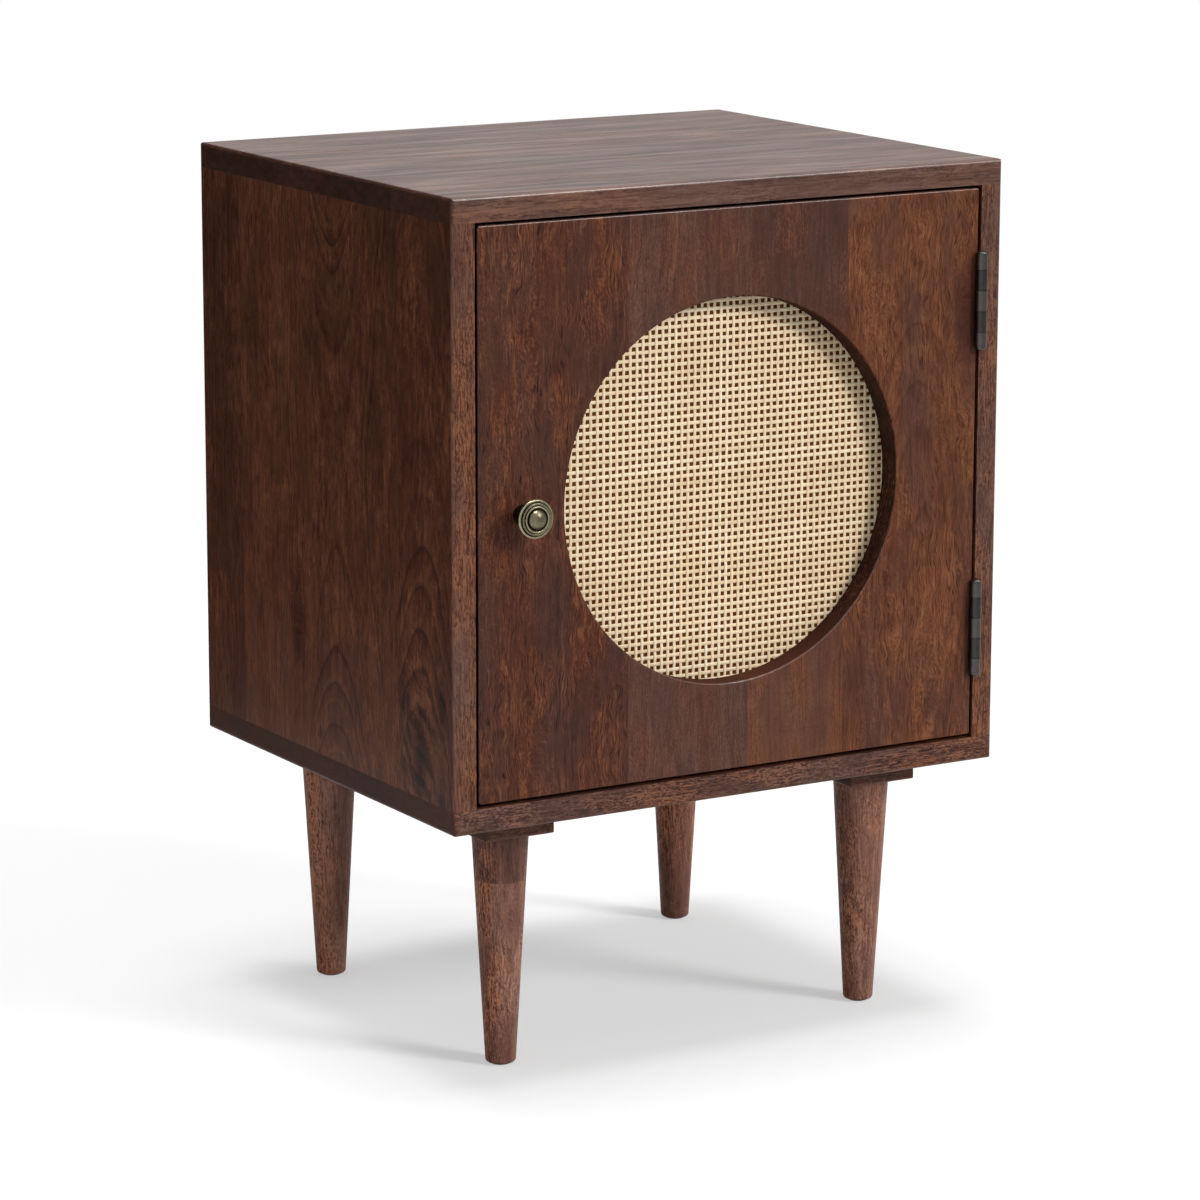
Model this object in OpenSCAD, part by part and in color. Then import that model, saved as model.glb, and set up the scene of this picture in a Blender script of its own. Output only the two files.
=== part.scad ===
// Bedside pot cupboard: a square carcass of solid boards on four turned legs,
// with one inset door on butt hinges and a round window of woven cane.
//
// Millimetres. +Z is up and the door faces -Y. The origin lies on the floor
// under the middle of the whole cupboard, knob included.

/* [Carcass] */
// Width of the carcass
body_w = 430; // [370:5:560]
// Depth of the carcass, without the knob
body_d = 360; // [300:5:460]
// Height of the carcass, without the legs
body_h = 420; // [370:5:560]
// Thickness of the carcass boards and of the leg blocks
board_t = 17; // [15:1:22]
// Radius of the eased outer edges
edge_r = 3; // [1:0.5:5]
// Thickness of the back panel
back_t = 6; // [4:1:8]
// Width of the rebate that the back panel lies in
rebate_w = 9; // [8:0.5:10]
// Diameter of the dowels in the four carcass joints
dowel_d = 8; // [6:1:8]
// Length of the dowels
dowel_len = 30; // [26:2:36]
// Number of dowels in each carcass joint
dowel_count = 4; // [3:1:5]

/* [Door] */
// Thickness of the door
door_t = 17; // [16:1:20]
// Gap beside and above the door
door_gap = 2; // [2:0.25:3]
// Gap below the door
door_foot_gap = 2.5; // [2:0.25:3.5]
// Diameter of the round window
window_d = 262; // [180:2:290]
// Rounding of the window's front rim
rim_r = 1; // [0.5:0.25:2]

/* [Cane] */
// Thickness of the cane webbing
cane_t = 1.2; // [1:0.1:1.6]
// Distance from one strand to the next
net_pitch = 14.2; // [14:0.2:20]
// Width of a strand
strand_w = 7.8; // [5:0.2:9]
// Width of the cane that the ring clamps, outside the window
cane_lap = 11; // [8:1:14]
// Width of the ring that holds the cane
ring_w = 22; // [20:1:24]
// Thickness of the ring that holds the cane
ring_t = 6; // [5:0.5:8]
// Number of screws in the ring
ring_screws_n = 8; // [6:1:12]

/* [Knob] */
// Diameter of the knob's outer bead
knob_d = 26; // [24:1:30]
// How far the knob stands out from the door
knob_h = 24; // [22:1:28]
// Distance of the knob's axis from the free edge of the door
knob_inset = 33; // [24:1:34]

/* [Hinges] */
// Height of a hinge leaf
hinge_h = 63; // [50:1:76]
// Diameter of the hinge barrel
barrel_d = 8; // [6.6:0.2:8]
// Diameter of the hinge pin
pin_d = 4; // [3:0.5:4.5]
// Thickness of a leaf
leaf_t = 1.5; // [1.2:0.1:1.8]
// Reach of a leaf behind the axis of the pin
leaf_reach = 16.5; // [15:0.5:18]
// How far the axis of the pin stands in front of the door
axis_proud = 3.2; // [3:0.2:5]
// Distance from the middle of a hinge to the top or bottom of the carcass
hinge_inset = 96; // [60:2:110]

/* [Legs] */
// Height from the floor to the carcass, block and glide included
leg_h = 180; // [130:5:240]
// Diameter of a leg at the top
leg_top_d = 39; // [34:1:42]
// Diameter of a leg at the foot
leg_foot_d = 21; // [20:1:28]
// Rounding of the foot's edge
foot_r = 2.5; // [1:0.5:3]
// Side of the square block above each leg
block_w = 54; // [52:1:60]
// Distance from a leg's axis to the side of the carcass
leg_inset_side = 69; // [45:1:90]
// Distance from a front leg's axis to the front of the carcass
leg_inset_front = 60; // [40:1:90]
// Distance from a back leg's axis to the back of the carcass
leg_inset_back = 54; // [40:1:90]

/* [Shelf] */
// Thickness of the shelf
shelf_t = 15; // [12:1:18]
// Height of the top of the shelf above the bottom board
shelf_z = 196; // [140:2:230]
// Depth of the shelf
shelf_d = 290; // [200:5:300]
// Gap between the shelf and the sides
shelf_gap = 1; // [0.5:0.5:2]

/* [Catch] */
// Distance of the catch below the top board
catch_drop = 86; // [60:2:120]

/* [Hidden] */

// Named clearances
pin_clear = 0.05;    // running fit of a hinge pin, on the radius
hole_clear = 0.1;    // round a dowel, bolt or screw, on the radius
let_in = 0.1;        // round a leaf or plate that is let into wood
knuckle_gap = 0.3;   // between neighbouring knuckles
seat_gap = 0.3;      // between pieces that meet only when the door shuts
panel_play = 0.5;    // round the back panel in its rebate
swing_gap = 0.5;     // between the barrel and the wood cut away for it
over = 1;            // how far a cutting shape runs past the face it cuts
end_room = 1;        // beyond the end of a bolt in its hole
fine = 96;           // segments of a large circle
round_n = 48;        // segments of a small circle

// The carcass in its own numbers
front_y = -(body_d + knob_h) / 2 + knob_h;
back_y = front_y + body_d;
mid_y = (front_y + back_y) / 2;
side_x = body_w / 2;
low_z = leg_h;
high_z = leg_h + body_h;
inner_x = side_x - board_t;
inner_low = low_z + board_t;
inner_high = high_z - board_t;
back_in = back_y - back_t;

// Dowels: from the front or back to the last one, wood left beyond an end,
// and how far they stand nearer the inside than the middle of a side board
dowel_end = 45;
dowel_cover = 6;
dowel_shift = 1;

// The door
door_w = 2 * inner_x - 2 * door_gap;
door_h = inner_high - inner_low - door_gap - door_foot_gap;
door_z = inner_low + door_foot_gap + door_h / 2;
door_in = front_y + door_t;
arris_r = 1.5;
corner_r = 3;
small_r = 1;

// Cane and ring
cane_d = window_d + 2 * cane_lap;
ring_out = window_d + 2 * ring_w;
ring_in = window_d + 2;
ring_screw_in = 6;
ring_screw_r = ring_out / 2 - ring_screw_in;
net_rim = 2;
net_gap = net_pitch - strand_w;

// Knob
knob_x = -door_w / 2 + knob_inset;
knob_z = door_z;
neck_r = 4.5;
flange_r = 7;
flange_h = 1.8;
dish_h = 15;         // from the door to the widest part
cove_r = 9;          // hollow between the neck and the widest part
beads = [[1.1, 6.8, 1.1], [3, 5.6, 1], [4.7, 4.7, 0.8]]; // [in from the edge, down from the top, radius]
groove = [6.2, 5.4, 0.7]; // round the dome: [in from the edge, down from the top, width]
dome_in = 6.2;
dome_h = 4.8;
bolt_d = 4;
bolt_bite = 11;
bolt_head = [9, 2.4];      // [diameter, height]
bolt_slot = [4.8, 1, 1.2]; // [length, width, depth]

// Hinges
axis_x = inner_x - door_gap / 2;
axis_y = front_y - axis_proud;
hinge_zs = [low_z + hinge_inset, high_z - hinge_inset];
leaf_gap = 0.4;
barrel_r = barrel_d / 2;
plate_y = barrel_r + knuckle_gap;
end_knuckle = hinge_h * 0.16;
mid_knuckle = (hinge_h - 2 * end_knuckle) / 3;
finial_h = 2.4;
finial_d = barrel_d - 0.8;
finial_r = 1.6;
leaf_screw = [3, 14, 5.6];
leaf_screw_y = [10.4, 12.6, 10.4];
leaf_screw_end = 9;
leaf_screw_z = hinge_h / 2 - leaf_screw_end;

// Legs and what holds them
leg_xs = [-side_x + leg_inset_side, side_x - leg_inset_side];
leg_ys = [front_y + leg_inset_front, back_y - leg_inset_back];
glide_proud = 1;
glide_in = 2.5;
glide_d = 14;
leg_len = leg_h - board_t - glide_proud;
insert_d = 11;
insert_flange_d = 20;
insert_flange_t = 1.6;
insert_len = 13;
hanger_d = 8;
hanger_leg = 32;
hanger_top = 12;
block_screw = [4, 28, 7.6];
block_screw_in = 7;
block_screw_at = block_w / 2 - block_screw_in;
block_low_r = 2.5;
block_side_r = 2;

// Screws are [shank diameter, length, head diameter]
back_screw = [3, 16, 5.6];
ring_screw = [3, 14, 5.6];
strike_screw_size = [3, 12, 5.4];
catch_screw = [2.8, 12, 5];
recess_w = 0.16;     // parts of a head's diameter: width, length and depth
recess_len = 0.5;    // of the cross recess in it
recess_h = 0.2;

// Shelf and its supports
shelf_high = inner_low + shelf_z;
shelf_low = shelf_high - shelf_t;
shelf_back_gap = 4;
shelf_back = back_in - shelf_back_gap;
shelf_front = shelf_back - shelf_d;
support_d = 5;
support_in = 9;
support_w = 12;
support_t = 2;
support_out = 8;
support_end = 35;
support_ys = [shelf_front + support_end, shelf_back - support_end];

// Catch on the left side and the plate that it holds on the door
catch_h = inner_high - catch_drop;
case_x = 13;
case_y = 16;
case_z = 28;
ear_y = 14;
ear_z = 46;
ear_t = 1.6;
magnet = [7, 9, 20];
strike = [16, 1.2, 34];
strike_r = 3;
strike_edge = 3;     // from the edge of the door to the plate
strike_x = -door_w / 2 + strike_edge + strike[0] / 2;
strike_screw_off = 4;
case_front = door_in + strike[1] + seat_gap;

// ---------------------------------------------------------------- helpers

// Rectangle round the origin with true arcs at its corners
module round_rect(w, h, r) {
    square([w - 2 * r, h], center = true);
    square([w, h - 2 * r], center = true);
    for (x = [-1, 1], y = [-1, 1])
        translate([x * (w / 2 - r), y * (h / 2 - r)]) circle(r = r, $fn = round_n);
}

// Block round the origin; rx, ry and rz round the edges that run along X, Y and Z
module eased_block(size, rx, ry, rz) {
    intersection() {
        linear_extrude(size[2], center = true) round_rect(size[0], size[1], rz);
        rotate([90, 0, 0])
            linear_extrude(size[1], center = true) round_rect(size[0], size[2], ry);
        rotate([90, 0, 90])
            linear_extrude(size[0], center = true) round_rect(size[1], size[2], rx);
    }
}

// Countersunk screw along +Z: its head's face lies at z = 0 and its shank
// below. With grow it is the hole for the screw, else it has a cross recess.
module screw(size, grow) {
    head_h = (size[2] - size[0]) / 2;
    difference() {
        rotate_extrude($fn = round_n) polygon([
            [0, grow],
            [size[2] / 2 + grow, grow],
            [size[2] / 2 + grow, 0],
            [size[0] / 2 + grow, -head_h],
            [size[0] / 2 + grow, -size[1] + size[0] / 2 - grow],
            [0, -size[1] - grow]
        ]);
        if (grow == 0) cross_cut([recess_len, recess_w, recess_h] * size[2]);
    }
}

// Two crossed slots cut down from z = 0, each of [length, width, depth]
module cross_cut(slot) {
    for (turn = [0, 90]) rotate([0, 0, turn])
        translate([-slot[0] / 2, -slot[1] / 2, -slot[2]]) cube([slot[0], slot[1], slot[2] + over]);
}

// Copies of what stands under it at every leg's axis
module at_legs() {
    for (x = leg_xs, y = leg_ys) translate([x, y, 0]) children();
}

// Copies of what stands under it at the middle of both hinges, on their axis
module at_hinges() {
    for (z = hinge_zs) translate([axis_x, axis_y, z]) children();
}

// ---------------------------------------------------------------- carcass

// Outside of the whole carcass, from which every board takes its eased edges
module carcass_outside() {
    translate([0, mid_y, low_z + body_h / 2])
        eased_block([body_w, body_d, body_h], edge_r, edge_r, edge_r);
}

// Layer of the carcass between two heights
module layer(z0, z1) {
    translate([-body_w, front_y - body_d, z0]) cube([2 * body_w, 3 * body_d, z1 - z0]);
}

// Rebate for the back panel, cut out of all four boards
module rebate() {
    translate([-inner_x - rebate_w, back_in, inner_low - rebate_w])
        cube([2 * (inner_x + rebate_w), back_t + over, inner_high - inner_low + 2 * rebate_w]);
}

function dowel_y(i) =
    front_y + dowel_end + i * (body_d - 2 * dowel_end - back_t) / (dowel_count - 1);

// Dowels, or with grow their holes, in all four joints
module dowels(grow) {
    in_board = board_t - dowel_cover;
    for (side = [-1, 1], i = [0 : dowel_count - 1])
        for (z = [inner_low - in_board, inner_high + in_board - dowel_len])
            translate([side * (inner_x + board_t / 2 - dowel_shift), dowel_y(i), z - grow])
                cylinder(d = dowel_d + 2 * grow, h = dowel_len + 2 * grow, $fn = round_n);
}

module carcass_dowels() color("#c9a878") dowels(0);

// Screws of the back panel: [x, z] of each, all round the rebate, at parts of
// the height of the sides and of half the width above and below
back_screw_x = inner_x + rebate_w / 2;
back_screw_low = inner_low - rebate_w / 2;
back_screw_high = inner_high + rebate_w / 2;
back_screw_parts = [0.15, 0.5, 0.85];
back_screw_half_parts = [-0.6, 0.6];
back_screw_at = concat(
    [for (x = [-back_screw_x, back_screw_x], k = back_screw_parts)
        [x, inner_low + k * (inner_high - inner_low)]],
    [for (z = [back_screw_low, back_screw_high], k = back_screw_half_parts) [k * inner_x, z]]
);

module back_screw_set(grow) {
    for (at = back_screw_at)
        translate([at[0], back_y, at[1]]) rotate([-90, 0, 0]) screw(back_screw, grow);
}

module back_screws() color("#8d8a80") back_screw_set(0);

module top_board() color("#5a3c30") difference() {
    intersection() {
        carcass_outside();
        layer(inner_high, high_z + over);
    }
    rebate();
    dowels(hole_clear);
    back_screw_set(hole_clear);
}

module bottom_board() color("#563829") difference() {
    intersection() {
        carcass_outside();
        layer(low_z - over, inner_low);
    }
    rebate();
    dowels(hole_clear);
    back_screw_set(hole_clear);
    at_legs() block_screw_set(hole_clear);
}

// Side board: side is -1 for the left one and 1 for the right one
module side_board(side) {
    difference() {
        intersection() {
            carcass_outside();
            layer(inner_low, inner_high);
            translate([side > 0 ? inner_x : -side_x - over, front_y - over, 0])
                cube([board_t + over, body_d + 2 * over, 2 * high_z]);
        }
        rebate();
        dowels(hole_clear);
        back_screw_set(hole_clear);
        support_set(hole_clear);
    }
}

module left_side() color("#4a2a20") difference() {
    side_board(-1);
    catch_screw_set(hole_clear);
}

module right_side() color("#4a2a20") difference() {
    side_board(1);
    at_hinges() leaf_bed(1);
    at_hinges() leaf_screw_set(1, hole_clear);
}

module back_panel() color("#6e4e3c") difference() {
    w = 2 * (inner_x + rebate_w - panel_play);
    h = inner_high - inner_low + 2 * (rebate_w - panel_play);
    translate([-w / 2, back_in, (inner_low + inner_high - h) / 2]) cube([w, back_t, h]);
    back_screw_set(hole_clear);
}

// ------------------------------------------------------------------ shelf

module shelf() color("#5d4033")
    translate([0, (shelf_front + shelf_back) / 2, (shelf_low + shelf_high) / 2])
        eased_block([2 * (inner_x - shelf_gap), shelf_d, shelf_t], arris_r, small_r, small_r);

// Right-hand shelf support: a round plug in the side, a half-round flange
// against it and a flat spoon under the shelf
module support(grow) {
    start = grow > 0 ? over : 0;
    drop = support_d / 2;
    translate([inner_x, 0, shelf_low - drop]) {
        rotate([0, 90, 0]) translate([0, 0, -start])
            cylinder(d = support_d + 2 * grow, h = support_in + grow + start, $fn = round_n);
        if (grow == 0) {
            translate([-support_out, -support_w / 2, drop - support_t])
                cube([support_out, support_w, support_t]);
            translate([-support_t, 0, 0]) rotate([0, 90, 0]) intersection() {
                cylinder(d = support_w, h = support_t, $fn = round_n);
                translate([-drop, -support_w, 0])
                    cube([2 * support_w, 2 * support_w, support_t]);
            }
        }
    }
}

module support_set(grow) {
    for (left = [0, 1], y = support_ys) mirror([left, 0, 0]) translate([0, y, 0]) support(grow);
}

module shelf_supports() color("#9a9a96") support_set(0);

// ------------------------------------------------------------------- door

module door_panel() color("#5f3c2e") difference() {
    translate([0, front_y + door_t / 2, door_z])
        eased_block([door_w, door_t, door_h], arris_r, corner_r, arris_r);
    window();
    at_hinges() leaf_bed(-1);
    at_hinges() leaf_screw_set(-1, hole_clear);
    ring_screw_set(hole_clear);
    strike_hole(hole_clear);
    knob_bolt_shape(hole_clear);
}

// Round opening with a rounded front rim
module window() {
    translate([0, front_y, door_z]) rotate([-90, 0, 0]) {
        translate([0, 0, -over]) cylinder(d = window_d, h = door_t + 2 * over, $fn = fine);
        rotate_extrude($fn = fine) difference() {
            translate([window_d / 2 - 1, -over]) square([rim_r + 1, rim_r + over]);
            translate([window_d / 2 + rim_r, rim_r]) circle(r = rim_r, $fn = round_n);
            translate([window_d / 2 - 1, rim_r]) square([2 * rim_r + 1, rim_r]);
        }
    }
}

// Woven cane as a net: square gaps wherever a whole one lies inside the window
net_n = floor((window_d / 2 - net_rim) / net_pitch);
net_centres = [for (i = [-net_n : net_n], k = [-net_n : net_n])
    if (norm([abs(i) * net_pitch + net_gap / 2, abs(k) * net_pitch + net_gap / 2])
        < window_d / 2 - net_rim) [i * net_pitch, k * net_pitch]];

module cane_panel() color("#dcc596")
    translate([0, door_in, door_z]) rotate([-90, 0, 0]) linear_extrude(cane_t) difference() {
        circle(d = cane_d, $fn = fine);
        for (at = net_centres) translate(at) square(net_gap, center = true);
    }

// Ring with a step that clamps the cane against the back of the door
module cane_ring() color("#4f3226") difference() {
    translate([0, door_in, door_z]) rotate([-90, 0, 0]) difference() {
        cylinder(d = ring_out, h = ring_t, $fn = fine);
        translate([0, 0, -over]) cylinder(d = ring_in, h = ring_t + 2 * over, $fn = fine);
        translate([0, 0, -over]) cylinder(d = cane_d + 2 * let_in, h = cane_t + over, $fn = fine);
    }
    ring_screw_set(hole_clear);
}

module ring_screw_set(grow) {
    for (i = [0 : ring_screws_n - 1]) {
        turn = (i + 0.5) * 360 / ring_screws_n;
        translate([ring_screw_r * cos(turn), door_in + ring_t, door_z + ring_screw_r * sin(turn)])
            rotate([-90, 0, 0]) screw(ring_screw, grow);
    }
}

module ring_screws() color("#a08c55") ring_screw_set(0);

// ------------------------------------------------------------------- knob

// Half of the knob's section: radius along X, distance from the door along Y
module knob_section() {
    r = knob_d / 2;
    square([flange_r, flange_h]);
    square([neck_r, dish_h]);
    difference() {
        translate([0, dish_h - cove_r]) square([r - beads[0][0], cove_r]);
        translate([neck_r + cove_r, dish_h - cove_r]) circle(r = cove_r, $fn = round_n);
        translate([neck_r + cove_r, dish_h - cove_r - over]) square([cove_r, cove_r + over]);
    }
    difference() {
        for (bead = beads) {
            at = [r - bead[0], knob_h - bead[1]];
            translate([0, dish_h]) square([at[0], at[1] - dish_h]);
            translate(at) circle(r = bead[2], $fn = round_n);
        }
        translate([r - groove[0], knob_h - groove[1]]) square([groove[2], groove[1]]);
    }
    dome_r = r - dome_in;
    ball_r = (dome_r * dome_r + dome_h * dome_h) / (2 * dome_h);
    intersection() {
        translate([0, knob_h - ball_r]) circle(r = ball_r, $fn = fine);
        translate([0, knob_h - dome_h]) square([dome_r, dome_h + over]);
    }
    translate([0, dish_h]) square([dome_r, knob_h - dome_h - dish_h]);
}

module knob() color("#6f6647")
    translate([knob_x, front_y, knob_z]) rotate([90, 0, 0]) difference() {
        rotate_extrude($fn = fine) intersection() {
            knob_section();
            square([knob_d, knob_h]);
        }
        translate([0, 0, -over])
            cylinder(d = bolt_d + 2 * pin_clear, h = bolt_bite + end_room + over, $fn = round_n);
    }

// Bolt from the back of the door into the knob, with a washer head
module knob_bolt_shape(grow) {
    start = grow > 0 ? over : 0;
    translate([knob_x, door_in, knob_z]) rotate([90, 0, 0]) {
        translate([0, 0, -start])
            cylinder(d = bolt_d + 2 * grow, h = door_t + bolt_bite + start, $fn = round_n);
        if (grow == 0) rotate([180, 0, 0]) difference() {
            cylinder(d = bolt_head[0], h = bolt_head[1], $fn = round_n);
            translate([0, 0, bolt_head[1]]) cross_cut(bolt_slot);
        }
    }
}

module knob_bolt() color("#b9b6ae") knob_bolt_shape(0);

// ----------------------------------------------------------------- hinges
// A hinge is drawn round its own axis: the leaves reach back along +Y, the
// door's leaf (side -1) at -X and the frame's leaf (side 1) at +X.

// Bottom and top of each knuckle, counted from below
knuckle_z = concat([-hinge_h / 2],
    [for (i = [0 : 3]) -hinge_h / 2 + end_knuckle + i * mid_knuckle], [hinge_h / 2]);
frame_knuckles = [0, 2, 4];
door_knuckles = [1, 3];

module leaf(side) {
    mine = side > 0 ? frame_knuckles : door_knuckles;
    plate_x = side > 0 ? leaf_gap / 2 : -leaf_gap / 2 - leaf_t;
    difference() {
        union() {
            translate([plate_x, plate_y, -hinge_h / 2])
                cube([leaf_t, leaf_reach - plate_y, hinge_h]);
            for (i = mine) {
                z0 = knuckle_z[i] + (i > 0 ? knuckle_gap / 2 : 0);
                z1 = knuckle_z[i + 1] - (i < 4 ? knuckle_gap / 2 : 0);
                translate([0, 0, z0]) cylinder(d = barrel_d, h = z1 - z0, $fn = round_n);
                translate([plate_x, 0, z0]) cube([leaf_t, plate_y + over, z1 - z0]);
            }
        }
        translate([0, 0, -hinge_h]) cylinder(d = pin_d + 2 * pin_clear, h = 2 * hinge_h, $fn = round_n);
        leaf_screw_set(side, hole_clear);
    }
}

// Screws of one leaf, which run from the face in the gap into the wood
module leaf_screw_set(side, grow) {
    for (i = [0 : 2])
        translate([side * leaf_gap / 2, leaf_screw_y[i], (i - 1) * leaf_screw_z])
            rotate([0, -side * 90, 0]) screw(leaf_screw, grow);
}

// Wood cut away for one leaf and for the barrel in front of it
module leaf_bed(side) {
    depth = leaf_gap / 2 + leaf_t + let_in;
    translate([side > 0 ? 0 : -depth, 0, -hinge_h / 2 - let_in])
        cube([depth, leaf_reach + let_in, hinge_h + 2 * let_in]);
    translate([0, 0, -hinge_h / 2 - finial_h - swing_gap])
        cylinder(r = barrel_r + swing_gap, h = hinge_h + 2 * (finial_h + swing_gap), $fn = round_n);
}

// Pin with a rounded finial at both ends
module hinge_pin() {
    tip = finial_d / 2;
    cylinder(d = pin_d, h = hinge_h, center = true, $fn = round_n);
    for (up = [0, 180]) rotate([up, 0, 0]) translate([0, 0, hinge_h / 2])
        rotate_extrude($fn = round_n) {
            square([tip, finial_h - finial_r]);
            square([tip - finial_r, finial_h]);
            translate([tip - finial_r, finial_h - finial_r]) intersection() {
                circle(r = finial_r, $fn = round_n);
                square(finial_r);
            }
        }
}

module lower_frame_leaf() color("#2e2c2b") translate([axis_x, axis_y, hinge_zs[0]]) leaf(1);
module lower_door_leaf() color("#2e2c2b") translate([axis_x, axis_y, hinge_zs[0]]) leaf(-1);
module lower_hinge_pin() color("#383635") translate([axis_x, axis_y, hinge_zs[0]]) hinge_pin();
module upper_frame_leaf() color("#2e2c2b") translate([axis_x, axis_y, hinge_zs[1]]) leaf(1);
module upper_door_leaf() color("#2e2c2b") translate([axis_x, axis_y, hinge_zs[1]]) leaf(-1);
module upper_hinge_pin() color("#383635") translate([axis_x, axis_y, hinge_zs[1]]) hinge_pin();
module frame_leaf_screws() color("#3a3836") at_hinges() leaf_screw_set(1, 0);
module door_leaf_screws() color("#3a3836") at_hinges() leaf_screw_set(-1, 0);

// ------------------------------------------------------------------ catch

// Case with two ears on the inner face of the left side
module catch_case() color("#4a3a30") difference() {
    translate([-inner_x, case_front, catch_h]) {
        translate([0, 0, -case_z / 2]) cube([case_x, case_y, case_z]);
        translate([0, (case_y - ear_y) / 2, -ear_z / 2]) cube([ear_t, ear_y, ear_z]);
    }
    magnet_shape(let_in);
    catch_screw_set(hole_clear);
}

// Magnet in the mouth of the case, or with grow the pocket for it
module magnet_shape(grow) {
    start = grow > 0 ? over : 0;
    translate([-inner_x + (case_x - magnet[0]) / 2 - grow, case_front - start, catch_h - magnet[2] / 2 - grow])
        cube([magnet[0] + 2 * grow, magnet[1] + grow + start, magnet[2] + 2 * grow]);
}

module catch_magnet() color("#77777a") magnet_shape(0);

module catch_screw_set(grow) {
    for (up = [-1, 1])
        translate([-inner_x + ear_t, case_front + case_y / 2, catch_h + up * (case_z + ear_z) / 4])
            rotate([0, 90, 0]) screw(catch_screw, grow);
}

module catch_screws() color("#9a9a96") catch_screw_set(0);

// Steel plate on the back of the door, which the magnet holds
module strike_plate() color("#a5a5a2") difference() {
    translate([strike_x, door_in + strike[1] / 2, catch_h])
        eased_block(strike, let_in, strike_r, let_in);
    strike_hole(hole_clear);
}

module strike_hole(grow) {
    translate([strike_x + strike_screw_off, door_in + strike[1], catch_h])
        rotate([-90, 0, 0]) screw(strike_screw_size, grow);
}

module strike_screw() color("#a5a5a2") strike_hole(0);

// ------------------------------------------------------------------- legs

// Square block under the bottom board, with its lower and upright edges eased
module leg_block(at) {
    difference() {
        intersection() {
            translate([at[0], at[1], low_z])
                eased_block([block_w, block_w, 2 * board_t], block_low_r, block_low_r, block_side_r);
            translate([at[0] - block_w, at[1] - block_w, low_z - board_t])
                cube([2 * block_w, 2 * block_w, board_t]);
        }
        translate([at[0], at[1], 0]) {
            block_screw_set(hole_clear);
            insert_pocket();
        }
    }
}

// Four screws of one block, from below into the bottom board
module block_screw_set(grow) {
    for (x = [-1, 1], y = [-1, 1])
        translate([x * block_screw_at, y * block_screw_at, low_z - board_t])
            rotate([180, 0, 0]) screw(block_screw, grow);
}

// Flanged insert that hangs in the block, its flange under the bottom board
module block_insert() {
    difference() {
        union() {
            translate([0, 0, low_z - insert_flange_t])
                cylinder(d = insert_flange_d, h = insert_flange_t, $fn = round_n);
            translate([0, 0, low_z - insert_len])
                cylinder(d = insert_d, h = insert_len, $fn = round_n);
        }
        translate([0, 0, low_z - insert_len - over])
            cylinder(d = hanger_d + 2 * hole_clear, h = insert_len + 2 * over, $fn = round_n);
    }
}

module insert_pocket() {
    translate([0, 0, low_z - insert_flange_t - hole_clear])
        cylinder(d = insert_flange_d + 2 * hole_clear, h = insert_flange_t + hole_clear, $fn = round_n);
    translate([0, 0, low_z - board_t - over])
        cylinder(d = insert_d + 2 * hole_clear, h = board_t + over, $fn = round_n);
}

// Hanger bolt: screwed into the leg below and into the insert above
module hanger_bolt() {
    translate([0, 0, low_z - board_t - hanger_leg])
        cylinder(d = hanger_d, h = hanger_leg + board_t - insert_len + hanger_top, $fn = round_n);
}

// Half of a leg's section, from its flat foot to its flat top
module leg_section() {
    top_r = leg_top_d / 2;
    low_r = leg_foot_d / 2;
    lean = atan((top_r - low_r) / leg_len);
    rise = foot_r * (1 - sin(lean));
    polygon([
        [0, 0],
        [low_r - foot_r, 0],
        [low_r - foot_r + foot_r * cos(lean), rise],
        [top_r, leg_len],
        [0, leg_len]
    ]);
    translate([low_r - foot_r, foot_r]) circle(r = foot_r, $fn = round_n);
}

module leg(at) {
    translate([at[0], at[1], glide_proud]) difference() {
        rotate_extrude($fn = fine) leg_section();
        translate([0, 0, leg_len - hanger_leg - end_room])
            cylinder(d = hanger_d + 2 * hole_clear, h = hanger_leg + end_room + over, $fn = round_n);
        translate([0, 0, -over])
            cylinder(d = glide_d + 2 * hole_clear, h = glide_in + over, $fn = round_n);
    }
}

// Nylon glide let into the foot
module foot_glide() {
    edge = 0.6;
    rotate_extrude($fn = round_n) {
        square([glide_d / 2 - edge, glide_proud + glide_in]);
        translate([0, edge]) square([glide_d / 2, glide_proud + glide_in - edge]);
        translate([glide_d / 2 - edge, edge]) circle(r = edge, $fn = round_n);
    }
}

module front_left_block() color("#4b332a") leg_block([leg_xs[0], leg_ys[0]]);
module front_right_block() color("#4b332a") leg_block([leg_xs[1], leg_ys[0]]);
module back_left_block() color("#4b332a") leg_block([leg_xs[0], leg_ys[1]]);
module back_right_block() color("#4b332a") leg_block([leg_xs[1], leg_ys[1]]);
module block_screws() color("#8d8a80") at_legs() block_screw_set(0);
module block_inserts() color("#b0aea8") at_legs() block_insert();
module hanger_bolts() color("#b0aea8") at_legs() hanger_bolt();
module front_left_leg() color("#6a463b") leg([leg_xs[0], leg_ys[0]]);
module front_right_leg() color("#6a463b") leg([leg_xs[1], leg_ys[0]]);
module back_left_leg() color("#6a463b") leg([leg_xs[0], leg_ys[1]]);
module back_right_leg() color("#6a463b") leg([leg_xs[1], leg_ys[1]]);
module foot_glides() color("#2b2725") at_legs() foot_glide();

// ---------------------------------------------------------------- drawing

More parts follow.
